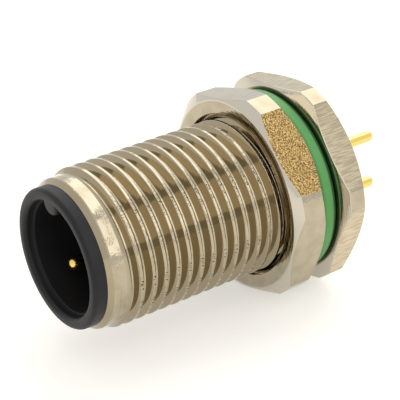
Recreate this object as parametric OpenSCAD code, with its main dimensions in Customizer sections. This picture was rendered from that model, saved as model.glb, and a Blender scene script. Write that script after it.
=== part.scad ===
// Round panel connector with a threaded barrel: hex flange, panel seal and
// hex nut, a black contact carrier with its key, and four pin contacts.
// The axis lies along Y: the mating end looks towards -Y and the solder
// tails towards +Y. The key is at the top (+Z). The origin is on the axis,
// in the plane where the flange meets its seal.

/* [Threaded barrel] */
// Nominal diameter of the thread
thread_d = 12; // [11.4:0.1:14]
// Pitch of the thread
thread_pitch = 1; // [0.75:0.25:1.5]
// Play by which the crests lie under the nominal diameter
thread_play = 0.1; // [0.04:0.02:0.2]
// Length of the barrel in front of the flange
barrel_l = 18.7; // [14:0.1:26]
// Diameter of the barrel at its front edge
barrel_nose_d = 10.5; // [10.3:0.1:10.8]
// Length of the plain lead before the first thread, chamfer included
barrel_lead_l = 1.6; // [1:0.1:3]
// Diameter of that plain lead
barrel_lead_d = 11.2; // [11:0.1:11.3]
// Bore that runs through barrel and flange
barrel_bore_d = 9.6; // [9.4:0.05:9.8]

/* [Flange] */
// Width across the flats of the flange
flange_af = 15; // [14.6:0.1:18]
// Diameter of the round blank that cuts the flange's corners
flange_corner_d = 16.5; // [16:0.1:16.8]
// Thickness of the flange
flange_t = 2.3; // [1.8:0.1:4]
// Diameter of the flange's flat faces
flange_face_d = 14.6; // [14.2:0.1:14.8]
// Depth of the front chamfer at the corners
flange_front_ch = 0.36; // [0.2:0.02:0.6]
// Depth of the rear chamfer at the corners
flange_rear_ch = 0.64; // [0.2:0.02:0.8]
// Turn of the flange's flats from the key
flange_turn = -6; // [-30:1:30]

/* [Nut] */
// Width across the flats of the nut
nut_af = 15; // [14.6:0.1:18]
// How far the nut's corners lie under the flange's, in diameter
nut_corner_drop = 0.1; // [0:0.1:0.4]
// Thickness of the nut
nut_t = 3; // [2:0.1:5]
// Diameter of the nut's front face
nut_front_d = 14.8; // [14:0.1:14.9]
// Depth of the nut's front chamfer at the corners
nut_front_ch = 0.48; // [0.2:0.02:0.7]
// Diameter of the nut's rear face
nut_rear_d = 14.6; // [14:0.1:14.9]
// Depth of the nut's rear chamfer at the corners
nut_rear_ch = 0.74; // [0.2:0.02:0.9]
// Running gap between the thread crests and the nut's bore
nut_fit = 0.05; // [0.02:0.01:0.09]
// Depth of the countersinks at both ends of the nut's bore
nut_sink = 0.36; // [0.2:0.02:0.6]
// Turn of the nut's flats from the key
nut_turn = -12; // [-30:1:30]

/* [Panel seal] */
// Thickness of the seal
seal_t = 1.3; // [0.8:0.1:2.5]
// Outer diameter of the seal
seal_d = 14.3; // [13.6:0.1:14.5]
// Radius of the seal's outer edges
seal_round = 0.4; // [0.1:0.05:0.4]
// Gap between the seal and the barrel
seal_fit = 0.05; // [0.02:0.01:0.2]

/* [Contact carrier] */
// Radial gap between the carrier and the barrel's bore
carrier_fit = 0.02; // [0.01:0.01:0.05]
// Length of the collar that stands out of the barrel
collar_l = 1.05; // [0.6:0.05:2]
// Outer diameter of the collar
collar_d = 10.5; // [10.3:0.1:10.8]
// Rounding of the collar's front edges
collar_round = 0.35; // [0.1:0.05:0.4]
// Diameter of the mouth at the collar
mouth_d = 8.7; // [8.5:0.05:8.9]
// Depth of the mouth's wider stretch
mouth_l = 0.75; // [0.4:0.05:1.5]
// Diameter of the socket behind the mouth
socket_d = 8.4; // [8.3:0.05:8.45]
// Depth of the socket, collar included
socket_l = 9; // [7:0.5:11]
// Diameter of the key rib's round nose
key_d = 1.75; // [1.2:0.05:2]
// Distance from the axis to the centre of the key rib
key_r = 4.45; // [4.3:0.05:4.6]
// Distance from the collar's front to the key rib
key_setback = 0.45; // [0.2:0.05:1]
// Distance from the carrier's rear face to the flange's rear face
carrier_recess = 0.3; // [0.1:0.1:1]

/* [Carrier seal] */
// Thickness of the ring that seals the carrier in the barrel
ring_t = 0.84; // [0.7:0.02:0.9]
// Width of the ring's groove
ring_groove_l = 1.2; // [1:0.1:1.6]
// Distance from the flange's front plane to the middle of that groove
ring_at = 5; // [3:0.5:7]

/* [Contacts] */
// Number of contacts round the circle
contact_count = 4; // [4]
// Diameter of the circle on which the contacts stand
contact_pcd = 5.5; // [5:0.1:5.6]
// Angle from the key to the first contact
contact_start = 45; // [45]
// Diameter of a contact's pin
pin_d = 1; // [0.8:0.05:1.1]
// Distance from the collar's front to the pins' tips
pin_setback = 2.1; // [1.5:0.1:4]
// Length of the cone at a pin's tip
pin_tip = 0.25; // [0.1:0.05:0.4]
// Diameter of a contact's shoulder, held in the carrier
shoulder_d = 1.7; // [1.3:0.1:1.8]
// Length of the shoulder
shoulder_l = 4; // [2:0.5:6]
// Diameter of a solder tail
tail_d = 0.85; // [0.6:0.05:0.85]
// Length of a solder tail behind the flange
tail_l = 5.4; // [3:0.1:8]
// Gap round a contact in the carrier
contact_fit = 0.02; // [0.01:0.01:0.05]

/* [Hidden] */
$fn = 96;
eps = 0.01;
crest_r = (thread_d - thread_play) / 2;
bore_r = barrel_bore_d / 2;
// a sharp 60 degree groove cut short by a flat of P/6 at crest and root
land = thread_pitch / 6;
groove_depth = (thread_pitch / 2 - land) / tan(30);
thread_from = -barrel_l + barrel_lead_l;
thread_turns = floor((-seal_t - thread_from) / thread_pitch);
carrier_r = bore_r - carrier_fit;
nut_corner_d = flange_corner_d - nut_corner_drop;
front = -(barrel_l + collar_l);
socket_floor = front + socket_l;
carrier_rear = flange_t - carrier_recess;
shoulder_rear = carrier_rear - 0.2;
shoulder_front = shoulder_rear - shoulder_l;
nickel = [0.74, 0.69, 0.58];
black_plastic = [0.09, 0.09, 0.1];
gold = [0.88, 0.7, 0.32];
green_rubber = [0.24, 0.55, 0.3];

// Children drawn along Z are laid along Y, with their +Y side turned down.
module along_y() rotate([-90, 0, 0]) children();

// Hex blank turned by `turn`, its corners cut by a round blank that is
// chamfered at both ends; z0 is the front, z0 + t the rear.
module hex_blank(af, corner_d, t, front_d, front_ch, rear_d, rear_ch, turn)
    intersection() {
        rotate([0, 0, turn])
            translate([0, 0, -eps])
                cylinder(d = af / cos(30), h = t + 2 * eps, $fn = 6);
        rotate_extrude()
            polygon([[0, 0], [front_d / 2, 0], [corner_d / 2, front_ch],
                     [corner_d / 2, t - rear_ch], [rear_d / 2, t], [0, t]]);
    }

// Half section of the barrel: bore side, chamfered nose, plain lead, then
// one groove to each pitch and a plain seat for the seal.
module barrel_section()
    polygon(concat(
        [[bore_r, 1], [bore_r, -barrel_l], [barrel_nose_d / 2, -barrel_l],
         [barrel_lead_d / 2, -barrel_l + (barrel_lead_d - barrel_nose_d)],
         [barrel_lead_d / 2, thread_from - land],
         [crest_r, thread_from - land + crest_r - barrel_lead_d / 2 - 0.1]],
        [for (i = [0 : thread_turns - 1], p = [
            [crest_r, 0.5 * thread_pitch - land / 2 - groove_depth * tan(30)],
            [crest_r - groove_depth, 0.5 * thread_pitch - land / 2],
            [crest_r - groove_depth, 0.5 * thread_pitch + land / 2],
            [crest_r, 0.5 * thread_pitch + land / 2 + groove_depth * tan(30)]])
            [p[0], thread_from + i * thread_pitch + p[1]]],
        [[crest_r, 1]]));

module housing() color(nickel)
    along_y() difference() {
        union() {
            rotate_extrude() barrel_section();
            hex_blank(flange_af, flange_corner_d, flange_t, flange_face_d,
                      flange_front_ch, flange_face_d, flange_rear_ch,
                      flange_turn);
        }
        translate([0, 0, -eps])
            cylinder(r = bore_r, h = flange_t + 2 * eps);
    }

// Half section of the collar with its two front edges rounded.
module collar_section() {
    w = collar_d / 2 - mouth_d / 2;
    translate([mouth_d / 2, front]) {
        translate([collar_round, 0]) square([w - 2 * collar_round, collar_l]);
        translate([0, collar_round]) square([w, collar_l - collar_round]);
        for (x = [collar_round, w - collar_round])
            translate([x, collar_round]) circle(r = collar_round, $fn = 48);
    }
}

// Half section of the carrier: collar, socket wall and the solid base with
// the groove of its ring.
module carrier_section() {
    collar_section();
    translate([socket_d / 2, front + mouth_l])
        square([carrier_r - socket_d / 2, socket_l - mouth_l]);
    translate([mouth_d / 2, front + mouth_l - eps])
        square([carrier_r - mouth_d / 2, collar_l]);
    difference() {
        translate([0, socket_floor])
            square([carrier_r, carrier_rear - socket_floor]);
        translate([carrier_r - ring_t, -ring_at - ring_groove_l / 2])
            square([ring_t + 1, ring_groove_l]);
    }
}

// Places a child on the contact circle; the angle runs from the key.
module at_contact(i)
    rotate([0, 0, contact_start - 90 + i * 360 / contact_count])
        translate([contact_pcd / 2, 0, 0]) children();

module contact_carrier() color(black_plastic)
    along_y() difference() {
        union() {
            rotate_extrude() carrier_section();
            intersection() {
                translate([0, -key_r, front + key_setback])
                    cylinder(d = key_d, h = socket_l - key_setback + eps,
                             $fn = 48);
                translate([0, 0, front])
                    cylinder(r = (socket_d / 2 + carrier_r) / 2,
                             h = socket_l + 1);
            }
        }
        for (i = [0 : contact_count - 1]) at_contact(i) {
            translate([0, 0, socket_floor - 1])
                cylinder(d = pin_d + 2 * contact_fit,
                         h = shoulder_front - socket_floor + 1, $fn = 32);
            translate([0, 0, shoulder_front - contact_fit])
                cylinder(d = shoulder_d + 2 * contact_fit,
                         h = carrier_rear - shoulder_front + 1, $fn = 32);
        }
    }

module carrier_seal() color(black_plastic)
    along_y() rotate_extrude()
        translate([carrier_r - ring_t / 2, -ring_at])
            circle(d = ring_t, $fn = 32);

// One turned contact: coned pin, shoulder and round-ended solder tail.
module contact(i) color(gold)
    along_y() at_contact(i) {
        tip = front + pin_setback;
        tail_end = flange_t + tail_l;
        translate([0, 0, tip])
            cylinder(d1 = pin_d - 1.4 * pin_tip, d2 = pin_d, h = pin_tip,
                     $fn = 32);
        translate([0, 0, tip + pin_tip])
            cylinder(d = pin_d, h = shoulder_rear - tip - pin_tip, $fn = 32);
        translate([0, 0, shoulder_front])
            cylinder(d = shoulder_d, h = shoulder_l, $fn = 32);
        translate([0, 0, shoulder_rear - eps])
            cylinder(d = tail_d, h = tail_end - tail_d / 2 - shoulder_rear + eps,
                     $fn = 32);
        translate([0, 0, tail_end - tail_d / 2]) sphere(d = tail_d, $fn = 32);
    }

// Half section of the seal, its outer edges rounded.
module seal_section() {
    r0 = crest_r + seal_fit;
    translate([r0, 0]) square([seal_d / 2 - seal_round - r0, seal_t]);
    translate([r0, seal_round])
        square([seal_d / 2 - r0, seal_t - 2 * seal_round]);
    for (z = [seal_round, seal_t - seal_round])
        translate([seal_d / 2 - seal_round, z])
            circle(r = seal_round, $fn = 48);
}

module panel_seal() color(green_rubber)
    along_y() translate([0, 0, -seal_t]) rotate_extrude() seal_section();

module panel_nut() color(nickel)
    along_y() translate([0, 0, -seal_t - nut_t]) {
        r = crest_r + nut_fit;
        difference() {
            hex_blank(nut_af, nut_corner_d, nut_t, nut_front_d, nut_front_ch,
                      nut_rear_d, nut_rear_ch, nut_turn);
            translate([0, 0, -eps]) cylinder(r = r, h = nut_t + 2 * eps);
            for (m = [0, 1])
                translate([0, 0, m * nut_t]) mirror([0, 0, m])
                    translate([0, 0, -eps])
                        cylinder(r1 = r + nut_sink + eps, r2 = r,
                                 h = nut_sink + eps);
        }
    }

housing();
contact_carrier();
carrier_seal();
contact(0);  // contact_1
contact(1);  // contact_2
contact(2);  // contact_3
contact(3);  // contact_4
panel_seal();
panel_nut();
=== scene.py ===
import math

import bpy
from mathutils import Matrix, Vector


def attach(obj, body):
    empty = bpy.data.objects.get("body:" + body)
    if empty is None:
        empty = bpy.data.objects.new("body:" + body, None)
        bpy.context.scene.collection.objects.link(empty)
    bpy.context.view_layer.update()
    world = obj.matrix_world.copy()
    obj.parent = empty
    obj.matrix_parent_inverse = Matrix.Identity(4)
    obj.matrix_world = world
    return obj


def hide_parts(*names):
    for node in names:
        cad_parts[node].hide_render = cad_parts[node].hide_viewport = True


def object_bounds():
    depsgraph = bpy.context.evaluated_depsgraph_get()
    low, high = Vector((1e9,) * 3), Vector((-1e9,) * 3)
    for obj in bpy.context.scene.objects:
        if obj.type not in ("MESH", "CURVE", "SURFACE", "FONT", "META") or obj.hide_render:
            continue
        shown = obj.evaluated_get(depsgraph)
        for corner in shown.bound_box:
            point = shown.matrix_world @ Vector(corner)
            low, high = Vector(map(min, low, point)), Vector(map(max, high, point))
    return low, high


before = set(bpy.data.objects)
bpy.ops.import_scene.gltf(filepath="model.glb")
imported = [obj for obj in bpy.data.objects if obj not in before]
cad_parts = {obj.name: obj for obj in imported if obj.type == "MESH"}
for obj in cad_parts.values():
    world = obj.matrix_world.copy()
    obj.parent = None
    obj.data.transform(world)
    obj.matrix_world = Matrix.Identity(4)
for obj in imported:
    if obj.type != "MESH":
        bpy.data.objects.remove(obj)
cad_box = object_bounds()
scene = bpy.context.scene
MM = 0.001


# ---------------------------------------------------------------------------
# Studio: a pale floor in a plain white room, two soft boxes and a long lens.
# The camera, metal and glass see the room as white. None of it belongs to
# the object.
# ---------------------------------------------------------------------------

scene.view_settings.view_transform = "Standard"

lens = bpy.data.cameras.new("camera")
lens.lens = 137.0
lens.sensor_width = 36.0
camera = bpy.data.objects.new("camera", lens)
camera.location = Vector((84.03, -62.98, 50.51)) * MM
camera.rotation_euler = [math.radians(a) for a in (63.600, 3.295, 54.822)]
scene.collection.objects.link(camera)
scene.camera = camera


class Value:
    """A shader socket that can stand in a sum; each operation adds a node."""

    def __init__(self, nodes, socket):
        self.nodes = nodes
        self.socket = socket

    def __add__(self, other):
        return self.nodes.math("ADD", self, other)

    def __sub__(self, other):
        return self.nodes.math("SUBTRACT", self, other)

    def __rsub__(self, other):
        return self.nodes.math("SUBTRACT", other, self)

    def __mul__(self, other):
        return self.nodes.math("MULTIPLY", self, other)

    def __pow__(self, other):
        return self.nodes.math("POWER", self, other)

    __radd__ = __add__
    __rmul__ = __mul__


class Nodes:
    """The emptied node tree of a material or of the world."""

    def __init__(self, owner):
        owner.use_nodes = True
        self.tree = owner.node_tree
        self.tree.nodes.clear()

    def add(self, kind, inputs=(), output=0, **settings):
        """Adds a node: its settings, then values or links for its sockets,
        by name or in order."""
        node = self.tree.nodes.new(kind)
        for name, value in settings.items():
            setattr(node, name, value)
        pairs = (inputs.items() if isinstance(inputs, dict)
                 else enumerate(inputs))
        for key, value in pairs:
            if isinstance(value, Value):
                self.tree.links.new(value.socket, node.inputs[key])
            elif value is not None:
                node.inputs[key].default_value = value
        return Value(self, node.outputs[output]) if node.outputs else None

    def math(self, operation, *values):
        return self.add("ShaderNodeMath", values, operation=operation)

    def fade(self, value, low, high):
        """0 below low, 1 above high and smooth between."""
        return self.add("ShaderNodeMapRange", [value, low, high],
                        interpolation_type="SMOOTHSTEP")

    def blend(self, factor, first, second):
        """The first colour where the factor is 0, the second where it is 1."""
        return self.add("ShaderNodeMix", {0: factor, 6: first, 7: second},
                        output=2, data_type="RGBA")

    def axis(self, vector, direction):
        """How far a vector reaches along a direction."""
        return self.add("ShaderNodeVectorMath", [vector, direction],
                        output="Value", operation="DOT_PRODUCT")


world = bpy.data.worlds.new("studio")
scene.world = world
studio = Nodes(world)


def in_view(nodes):
    """1 where the ray comes from the camera, or from metal or glass that
    shows what stands around it."""
    camera_ray, glossy_ray, clear_ray = [
        nodes.add("ShaderNodeLightPath", output=name)
        for name in ("Is Camera Ray", "Is Glossy Ray",
                     "Is Transmission Ray")]
    return nodes.math("MAXIMUM", camera_ray,
                      nodes.math("MAXIMUM", glossy_ray, clear_ray))


white, soft_light = (1, 1, 1, 1), (0.62, 0.61, 0.58, 1)
studio.add("ShaderNodeOutputWorld", [studio.add(
    "ShaderNodeBackground",
    [studio.blend(in_view(studio), soft_light, white), 1.0])])

bpy.ops.object.select_all(action="DESELECT")
bpy.ops.mesh.primitive_grid_add(x_subdivisions=4, y_subdivisions=4, size=0.6,
                                location=(0, 0, cad_box[0][2] - 0.02 * MM))
floor = bpy.context.object
floor.name = floor.data.name = "floor"
bpy.ops.object.transform_apply()
white_sweep = bpy.data.materials.new("white_sweep")
sweep = Nodes(white_sweep)
sweep.add("ShaderNodeOutputMaterial", [sweep.add(
    "ShaderNodeBsdfPrincipled",
    {"Base Color": (0.80, 0.78, 0.74, 1), "Roughness": 0.9,
     "Emission Color": sweep.blend(in_view(sweep), (0, 0, 0, 1), white),
     "Emission Strength": 0.45})])
floor.data.materials.append(white_sweep)


def lamp(name, place, size, power, colour):
    """A square soft box that looks at the connector."""
    light = bpy.data.lights.new(name, "AREA")
    light.size = size
    light.energy = power
    light.color = colour
    box = bpy.data.objects.new(name, light)
    box.location = place
    box.rotation_euler = (-Vector(place)).to_track_quat("-Z", "Y").to_euler()
    scene.collection.objects.link(box)


lamp("soft_box_rear", (-0.10, 0.12, 0.22), 0.30, 0.42, (1.0, 0.98, 0.94))
lamp("soft_box_side", (0.22, 0.02, 0.16), 0.26, 0.24, (1.0, 0.97, 0.92))


# ---------------------------------------------------------------------------
# Housing: brass turned from hexagon bar and nickel plated. The barrel's
# M12 x 1 thread is cut from the front, so its first groove runs out of the
# plain lead. The flange keeps the bar's six flats, chamfered at both ends.
# ---------------------------------------------------------------------------


def drawn(name, outline):
    """Draws a closed outline of (radius, y) points in millimetres by
    extruding a single point."""
    bpy.ops.object.select_all(action="DESELECT")
    bpy.ops.mesh.primitive_plane_add(size=MM)
    part = bpy.context.object
    part.name = part.data.name = name
    bpy.ops.object.mode_set(mode="EDIT")
    bpy.ops.mesh.select_mode(type="VERT")
    bpy.ops.mesh.select_all(action="SELECT")
    bpy.ops.mesh.merge(type="CENTER")
    points = [Vector((radius, y, 0)) * MM for radius, y in outline]
    bpy.ops.transform.translate(value=points[0])
    for last, point in zip(points, points[1:] + points[:1]):
        bpy.ops.mesh.extrude_region_move(
            TRANSFORM_OT_translate={"value": point - last})
    bpy.ops.mesh.select_all(action="SELECT")
    bpy.ops.mesh.remove_doubles(threshold=0.0002 * MM)
    return part


def turned(name, outline, steps=180):
    """Turns a closed outline about the connector's axis."""
    part = drawn(name, outline)
    bpy.ops.mesh.spin(steps=steps, angle=2 * math.pi, center=(0, 0, 0),
                      axis=(0, 1, 0))
    bpy.ops.mesh.select_all(action="SELECT")
    bpy.ops.mesh.remove_doubles(threshold=0.0002 * MM)
    bpy.ops.mesh.normals_make_consistent(inside=False)
    bpy.ops.object.mode_set(mode="OBJECT")
    return part


def apply(part, kind, **settings):
    """Adds one modifier with its settings and applies it."""
    modifier = part.modifiers.new(kind.lower(), kind)
    for name, value in settings.items():
        setattr(modifier, name, value)
    bpy.context.view_layer.objects.active = part
    bpy.ops.object.modifier_apply(modifier=modifier.name)


def join(part, tool, operation):
    """Adds, cuts or keeps the common part of two solids; the tool goes."""
    apply(part, "BOOLEAN", object=tool, operation=operation, solver="EXACT")
    bpy.data.objects.remove(tool)


def smooth(part, angle=30):
    """Soft shading, with creases where faces meet at more than an angle."""
    bpy.ops.object.select_all(action="DESELECT")
    part.select_set(True)
    bpy.context.view_layer.objects.active = part
    bpy.ops.object.shade_smooth_by_angle(angle=math.radians(angle))
    apply(part, "WEIGHTED_NORMAL", mode="FACE_AREA", weight=100,
          keep_sharp=True)


def arc(radius, y, size, start, end, parts):
    """Points on an arc; angles in degrees, from outwards towards +Y."""
    turn = [math.radians(start + (end - start) * i / parts)
            for i in range(parts + 1)]
    return [(radius + size * math.cos(a), y + size * math.sin(a))
            for a in turn]


def hexagon(name, across_flats, front, rear, flat_at):
    """Six-sided bar between two planes; flat_at is the place of one flat's
    middle, in degrees from the top."""
    bpy.ops.object.select_all(action="DESELECT")
    bpy.ops.mesh.primitive_cylinder_add(
        vertices=6, radius=across_flats / 2 / math.cos(math.pi / 6) * MM,
        depth=(rear - front) * MM, end_fill_type="NGON")
    part = bpy.context.object
    part.name = part.data.name = name
    corner = part.data.vertices[0].co
    turn = flat_at + 30 - math.degrees(math.atan2(corner.x, corner.y))
    part.data.transform(
        Matrix.Translation((0, (front + rear) / 2 * MM, 0))
        @ Matrix.Rotation(math.radians(turn), 4, "Y")
        @ Matrix.Rotation(math.radians(90), 4, "X"))
    bpy.ops.object.mode_set(mode="EDIT")
    bpy.ops.mesh.select_all(action="SELECT")
    bpy.ops.mesh.normals_make_consistent(inside=False)
    bpy.ops.object.mode_set(mode="OBJECT")
    return part


across_flats = 15.0
flange_thickness = 2.3
broken_edge = 0.05
crest, root = 5.95, 5.40
bore = 4.8
thread_pitch = 1.0
barrel_front = -18.7

housing = hexagon("housing_body", across_flats, -0.2,
                  flange_thickness + 0.2, -6)
join(housing, turned("flange_blank", [
    (0, 0), (7.3, 0), (8.25, 0.36), (8.25, 1.66), (7.3, flange_thickness),
    (0, flange_thickness)]), "INTERSECT")
apply(housing, "BEVEL", width=broken_edge * MM, segments=2,
      limit_method="ANGLE", angle_limit=math.radians(18))
join(housing, turned("barrel", [
    (0, 1), (0, barrel_front), (5.25, barrel_front),
    (5.58, barrel_front + 0.33), (5.62, barrel_front + 0.42),
    (5.64, -17.42), (5.72, -17.30), (5.9, -17.12), (crest, -17.0),
    (crest, 1)]), "UNION")

# The thread tool: one groove's outline, wound forwards and back far enough
# to leave the barrel, and eased out of the metal at its first turn.
root_round = 0.14
lean = math.tan(math.radians(30))
side_start = root_round * math.cos(math.radians(30))
rising = (arc(root + root_round, 0, root_round, 173, 120, 5)
          + [(r, side_start + (r - root - root_round / 2) * lean + extra)
             for r, extra in ((crest - 0.03, 0), (crest - 0.01, 0.008),
                              (crest + 0.03, 0.06), (crest + 0.2, 0.07))])
outline = [(r, -y) for r, y in reversed(rising)] + rising
tool = drawn("thread_tool", outline)
bpy.ops.object.mode_set(mode="OBJECT")
first_turn, turns = -19.09, 17
steps_a_turn = 120
tool.data.transform(Matrix.Translation((0, first_turn * MM, 0)))
tool.data.transform(Matrix.Rotation(math.radians(-90), 4, "Y"))
apply(tool, "SCREW", axis="Y", angle=2 * math.pi * turns,
      screw_offset=thread_pitch * turns * MM, iterations=1,
      steps=steps_a_turn * turns, render_steps=steps_a_turn * turns,
      use_merge_vertices=False)
bpy.ops.object.select_all(action="DESELECT")
tool.select_set(True)
bpy.ops.object.mode_set(mode="EDIT")
bpy.ops.mesh.select_mode(type="EDGE")
bpy.ops.mesh.select_all(action="DESELECT")
bpy.ops.mesh.select_non_manifold()
bpy.ops.mesh.fill_holes(sides=0)
bpy.ops.mesh.select_all(action="SELECT")
bpy.ops.mesh.normals_make_consistent(inside=False)
bpy.ops.object.mode_set(mode="OBJECT")
run_out_start, run_out_turns, run_out_lift = 1.0, 1.45, 0.30
for vertex in tool.data.vertices:
    around = math.degrees(math.atan2(vertex.co.x, vertex.co.z)) / 360
    wound = round(vertex.co.y / MM - first_turn - around) + around
    depth = min(1, max(0, (wound - run_out_start) / run_out_turns))
    lift = 1 + (run_out_lift * (1 - depth) ** 1.5
                / math.hypot(vertex.co.x, vertex.co.z) * MM)
    vertex.co.x *= lift
    vertex.co.z *= lift
join(housing, tool, "DIFFERENCE")
join(housing, turned("bore", [(0, -25), (bore, -25), (bore, 5), (0, 5)], 120),
     "DIFFERENCE")
smooth(housing, 12)


# Painted highlight: a lighter colour that the chamfers of the flange and the nut are
# given.
chamfer_highlight = (0.54, 0.50, 0.42, 1)


def nickel_plate(name, groove_edge, groove_shade_tint, skin_scale, skin_height,
                 skin_tint, on_skin):
    """Nickel over turned brass: lathe lines run round the turned faces, the
    flats keep the skin of the drawn bar, the chamfers carry a painted highlight,
    and the flanks of a thread or a countersink, out to the groove's edge, a painted shade."""
    material = bpy.data.materials.new(name)
    metal = Nodes(material)
    place = metal.add("ShaderNodeTexCoord", output="Object")
    across, along, up = (metal.axis(place, d)
                         for d in ((1, 0, 0), (0, 1, 0), (0, 0, 1)))
    radius = (across * across + up * up) ** 0.5
    normal = metal.add("ShaderNodeNewGeometry", output="Normal")
    facing = metal.axis(normal, (0, 1, 0))
    outward = 1 - facing * facing
    on_flat = on_skin(metal, radius, normal, outward)
    # Painted shade: inside groove_edge, the flanks of a thread or a countersink take a
    # darker colour.
    shaded_groove = (1 - metal.fade(radius, (groove_edge - 0.02) * MM,
                                groove_edge * MM)) * metal.fade(
        facing * facing, 0.2, 0.6)
    rings = metal.add("ShaderNodeTexNoise", {
        "Vector": metal.add("ShaderNodeCombineXYZ", [radius, along, 0.0]),
        "Scale": 9000.0, "Detail": 1.0})
    grit = metal.add("ShaderNodeTexNoise", {"Vector": place, "Scale": 9000.0,
                                            "Detail": 1.0})
    skin = metal.add("ShaderNodeTexNoise", {
        "Vector": metal.add("ShaderNodeMapping",
                            {"Vector": place, "Scale": skin_scale}),
        "Scale": 1.0, "Detail": 1.0})
    cloud = metal.add("ShaderNodeTexNoise", {"Vector": place, "Scale": 900.0,
                                             "Detail": 3.0})
    clean = metal.blend(metal.fade(cloud, 0.35, 0.7), (0.44, 0.385, 0.285, 1),
                        (0.38, 0.330, 0.235, 1))
    skinned = metal.blend(metal.fade(skin, 0.38, 0.62),
                          skin_tint[0], skin_tint[1])
    height = ((rings * metal.fade(radius, 5.95 * MM, 6.10 * MM) * 0.6
               + grit * outward * metal.fade(cloud, 0.42, 0.62)
               * (1 - metal.fade(radius, 5.96 * MM, 5.99 * MM)) * 3.0
               + grit * outward * outward * 0.5)
              * (1 - on_flat) * (1 - shaded_groove * 0.8)
              + skin * on_flat * skin_height)
    # Painted highlight: the chamfers of the flange and the nut take the lighter chamfer
    # colour.
    painted_chamfer_highlight = metal.fade(radius, 7.25 * MM, 7.35 * MM) * metal.fade(
        facing * facing, 0.3, 0.5)
    metal.add("ShaderNodeOutputMaterial", [metal.add(
        "ShaderNodeBsdfPrincipled",
        {"Base Color": metal.blend(
            shaded_groove, metal.blend(
                painted_chamfer_highlight, metal.blend(on_flat, clean, skinned),
                chamfer_highlight), groove_shade_tint),
         "Metallic": 1.0,
         "Roughness": cloud * 0.08 + on_flat * 0.08 + 0.04,
         "Normal": metal.add("ShaderNodeBump",
                             {"Strength": 1.0, "Distance": 0.01 * MM,
                              "Height": height})})])
    return material


def on_flange_flats(metal, radius, normal, outward):
    """1 on the flange's six flats, 0 elsewhere."""
    return (metal.fade(radius, 7.40 * MM, 7.50 * MM)
            * (1 - metal.fade(radius, 8.15 * MM, 8.22 * MM))
            * metal.fade(outward, 0.9, 0.98))


# The third value is the colour of the painted shade in the thread's grooves.
plated_nickel = nickel_plate(
    "plated_nickel", 5.93, (0.34, 0.285, 0.19, 1), (12000, 900, 12000), 0.35,
    ((0.42, 0.355, 0.24, 1), (0.59, 0.51, 0.365, 1)), on_flange_flats)
housing.data.materials.append(plated_nickel)
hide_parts("housing")
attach(housing, "receptacle")


# ---------------------------------------------------------------------------
# Contact carrier: black moulded plastic pushed into the barrel from the
# front, with a rounded collar against the barrel's end, a stepped mouth and
# the key rib that turns the mating plug into place.
# ---------------------------------------------------------------------------

collar_front = -19.75
socket_floor = collar_front + 9
carrier = turned("carrier_moulding", (
    [(0, 2.0), (0, socket_floor), (4.1, socket_floor),
     (4.2, socket_floor - 0.1), (4.2, collar_front + 0.78),
     (4.23, collar_front + 0.75), (4.33, collar_front + 0.75),
     (4.35, collar_front + 0.72)]
    + arc(4.70, collar_front + 0.35, 0.35, 180, 270, 8)
    + arc(4.90, collar_front + 0.35, 0.35, 270, 360, 8)
    + [(5.25, barrel_front - 0.04), (5.22, barrel_front - 0.005),
       (4.78, barrel_front - 0.005), (4.78, 1.9), (4.68, 2.0)]))
key_radius, key_length, key_height, key_setback = 0.875, 9.1, 4.40, 0.03
bpy.ops.object.select_all(action="DESELECT")
bpy.ops.mesh.primitive_cylinder_add(
    vertices=64, radius=key_radius * MM, depth=key_length * MM,
    rotation=(math.radians(90), 0, 0),
    location=(0, (collar_front + key_setback + key_length / 2) * MM,
              key_height * MM))
rib = bpy.context.object
bpy.ops.object.transform_apply()
apply(rib, "BEVEL", width=0.22 * MM, segments=4, limit_method="ANGLE",
      angle_limit=math.radians(40))
join(rib, turned("rib_limit", [(0, -21), (bore, -21), (bore, -10), (0, -10)]),
     "INTERSECT")
join(carrier, rib, "UNION")

contact_circle = 5.5
contact_places = [Vector((math.sin(math.radians(a)), 0,
                          math.cos(math.radians(a)))) * contact_circle / 2 * MM
                  for a in (45, 135, 225, 315)]


def hole(place, radius, front, rear):
    """A drill for one hole along the connector's axis."""
    drill = turned("drill", [(0, front), (radius, front), (radius, rear),
                             (0, rear)], 48)
    drill.data.transform(Matrix.Translation(place))
    return drill


for spot in contact_places:
    join(carrier, hole(spot, 0.52, socket_floor - 1, -2.0), "DIFFERENCE")
    join(carrier, hole(spot, 0.72, socket_floor - 1, socket_floor + 0.25),
         "DIFFERENCE")
    join(carrier, hole(spot, 0.87, -2.2, 3), "DIFFERENCE")
smooth(carrier, 35)

black_plastic = bpy.data.materials.new("black_plastic")
plastic = Nodes(black_plastic)
place = plastic.add("ShaderNodeTexCoord", output="Object")
grain = plastic.add("ShaderNodeTexNoise", {"Vector": place, "Scale": 9000.0,
                                           "Detail": 2.0})
haze = plastic.add("ShaderNodeTexNoise", {"Vector": place, "Scale": 500.0})
plastic.add("ShaderNodeOutputMaterial", [plastic.add(
    "ShaderNodeBsdfPrincipled",
    {"Base Color": plastic.blend(haze, (0.010, 0.010, 0.012, 1),
                                 (0.014, 0.014, 0.017, 1)),
     "Roughness": haze * 0.15 + 0.42,
     "Specular IOR Level": 0.26,
     "Normal": plastic.add("ShaderNodeBump",
                           {"Strength": 0.25, "Distance": 0.01 * MM,
                            "Height": grain})})])
carrier.data.materials.append(black_plastic)
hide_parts("contact_carrier")
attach(carrier, "receptacle")


# ---------------------------------------------------------------------------
# Carrier seal: a rubber ring in the carrier's groove, hidden in the barrel.
# Its CAD solid has the right shape and takes a rubber finish.
# ---------------------------------------------------------------------------

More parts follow.
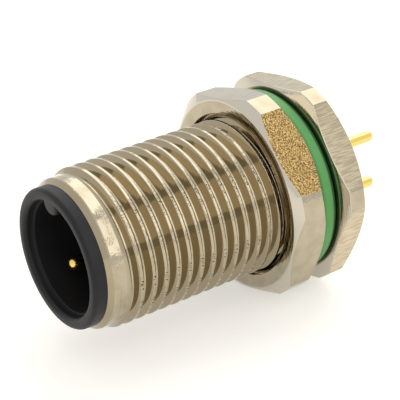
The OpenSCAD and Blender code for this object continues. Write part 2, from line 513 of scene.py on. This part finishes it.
black_rubber = bpy.data.materials.new("black_rubber")
rubber = Nodes(black_rubber)
place = rubber.add("ShaderNodeTexCoord", output="Object")
dust = rubber.add("ShaderNodeTexNoise", {"Vector": place, "Scale": 2500.0})
rubber.add("ShaderNodeOutputMaterial", [rubber.add(
    "ShaderNodeBsdfPrincipled",
    {"Base Color": rubber.blend(dust, (0.018, 0.018, 0.018, 1),
                                (0.032, 0.031, 0.030, 1)),
     "Roughness": dust * 0.2 + 0.55})])
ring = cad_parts["carrier_seal"]
ring.data.materials.clear()
ring.data.materials.append(black_rubber)


# ---------------------------------------------------------------------------
# Contacts: four pins turned from brass and gold plated, each held in the
# carrier by its shoulder, with a domed tip in front and a round-ended
# solder tail behind.
# ---------------------------------------------------------------------------

gold_plate = bpy.data.materials.new("gold_plate")
gold = Nodes(gold_plate)
place = gold.add("ShaderNodeTexCoord", output="Object")
lathe = gold.add("ShaderNodeTexNoise",
                 {"Vector": gold.add("ShaderNodeMapping", {
                     "Vector": place, "Scale": (400, 9000, 400)}),
                  "Scale": 1.0, "Detail": 2.0})
gold.add("ShaderNodeOutputMaterial", [gold.add(
    "ShaderNodeBsdfPrincipled",
    {"Base Color": gold.blend(lathe, (0.86, 0.65, 0.22, 1),
                              (0.79, 0.57, 0.16, 1)),
     "Metallic": 1.0,
     "Roughness": lathe * 0.1 + 0.14,
     "Normal": gold.add("ShaderNodeBump",
                        {"Strength": 0.2, "Distance": 0.01 * MM,
                         "Height": lathe})})])
pin_tip = collar_front + 2.1
tail_end = flange_thickness + 5.4
pin_radius, tail_radius = 0.5, 0.425
for number, spot in enumerate(contact_places, 1):
    contact = turned("contact_pin_%d" % number, (
        [(0, pin_tip), (0.14, pin_tip + 0.01), (0.26, pin_tip + 0.05),
         (0.36, pin_tip + 0.13), (0.44, pin_tip + 0.25),
         (0.48, pin_tip + 0.37), (pin_radius, pin_tip + 0.55),
         (pin_radius, -2.2), (0.82, -2.2), (0.85, -2.17), (0.85, 1.77),
         (0.82, 1.8), (tail_radius, 1.8)]
        + arc(0, tail_end - tail_radius, tail_radius, 0, 90, 10)), 48)
    contact.data.transform(Matrix.Translation(spot))
    smooth(contact, 35)
    contact.data.materials.append(gold_plate)
    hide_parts("contact_%d" % number)
    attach(contact, "receptacle")


# ---------------------------------------------------------------------------
# Panel seal: a moulded green rubber ring that lies loose round the barrel,
# between the flange and the panel, with rounded outer edges.
# ---------------------------------------------------------------------------

panel_seal = turned("panel_seal_ring", (
    [(6.02, -0.02), (6.0, -0.05), (6.0, -1.25), (6.02, -1.28)]
    + arc(6.75, -0.90, 0.40, 270, 360, 8)
    + arc(6.75, -0.42, 0.40, 0, 90, 8)))
smooth(panel_seal, 40)
green_rubber = bpy.data.materials.new("green_rubber")
rubber = Nodes(green_rubber)
place = rubber.add("ShaderNodeTexCoord", output="Object")
bloom = rubber.add("ShaderNodeTexNoise", {"Vector": place, "Scale": 1200.0,
                                          "Detail": 3.0})
grain = rubber.add("ShaderNodeTexNoise", {"Vector": place, "Scale": 8000.0})
# A darker band beside the flange stands in for the shade it casts there.
by_flange = rubber.fade(rubber.axis(place, (0, 1, 0)), -0.46 * MM,
                        -0.36 * MM)
rubber.add("ShaderNodeOutputMaterial", [rubber.add(
    "ShaderNodeBsdfPrincipled",
    {"Base Color": rubber.blend(
        by_flange, rubber.blend(bloom, (0.071, 0.290, 0.073, 1),
                           (0.110, 0.374, 0.107, 1)),
        (0.016, 0.080, 0.020, 1)),
     "Roughness": bloom * 0.15 + 0.42,
     "Normal": rubber.add("ShaderNodeBump",
                          {"Strength": 0.2, "Distance": 0.01 * MM,
                           "Height": grain})})])
panel_seal.data.materials.append(green_rubber)
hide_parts("panel_seal")
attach(panel_seal, "receptacle")


# ---------------------------------------------------------------------------
# Panel nut: brass, nickel plated, turned from the same hexagon bar, with
# chamfered corners and a countersink at each end of its bore. It screws
# along the barrel and clamps the panel against the seal.
# ---------------------------------------------------------------------------

nut_front, nut_rear = -4.3, -1.3
panel_nut = hexagon("panel_nut_hex", across_flats, nut_front - 0.2,
                    nut_rear + 0.2, -12)
join(panel_nut, turned("nut_blank", [
    (6.0, nut_front + 0.36), (6.36, nut_front), (7.4, nut_front),
    (8.2, nut_front + 0.48), (8.2, nut_rear - 0.74), (7.3, nut_rear),
    (6.36, nut_rear), (6.0, nut_rear - 0.36)]), "INTERSECT")
apply(panel_nut, "BEVEL", width=broken_edge * MM, segments=2,
      limit_method="ANGLE", angle_limit=math.radians(18))
smooth(panel_nut, 30)


def on_flats_at_48(metal, radius, normal, outward):
    """1 on the two opposite flats whose middles lie 48 degrees from the top, which take a
    darker, orange, grainy tint.
    """
    turn = math.radians(48)
    across = metal.axis(normal, (math.sin(turn), 0, math.cos(turn)))
    return metal.fade(across * across, 0.92, 0.97)


# The third value is the colour of the painted shade in the nut's countersink.
sandy_nickel = nickel_plate(
    "sandy_nickel", 6.33, (0.40, 0.345, 0.25, 1), (10500, 10500, 10500), 5.5,
    ((0.15, 0.085, 0.025, 1), (0.52, 0.37, 0.155, 1)), on_flats_at_48)
panel_nut.data.materials.append(sandy_nickel)
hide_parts("panel_nut")
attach(panel_nut, "nut")
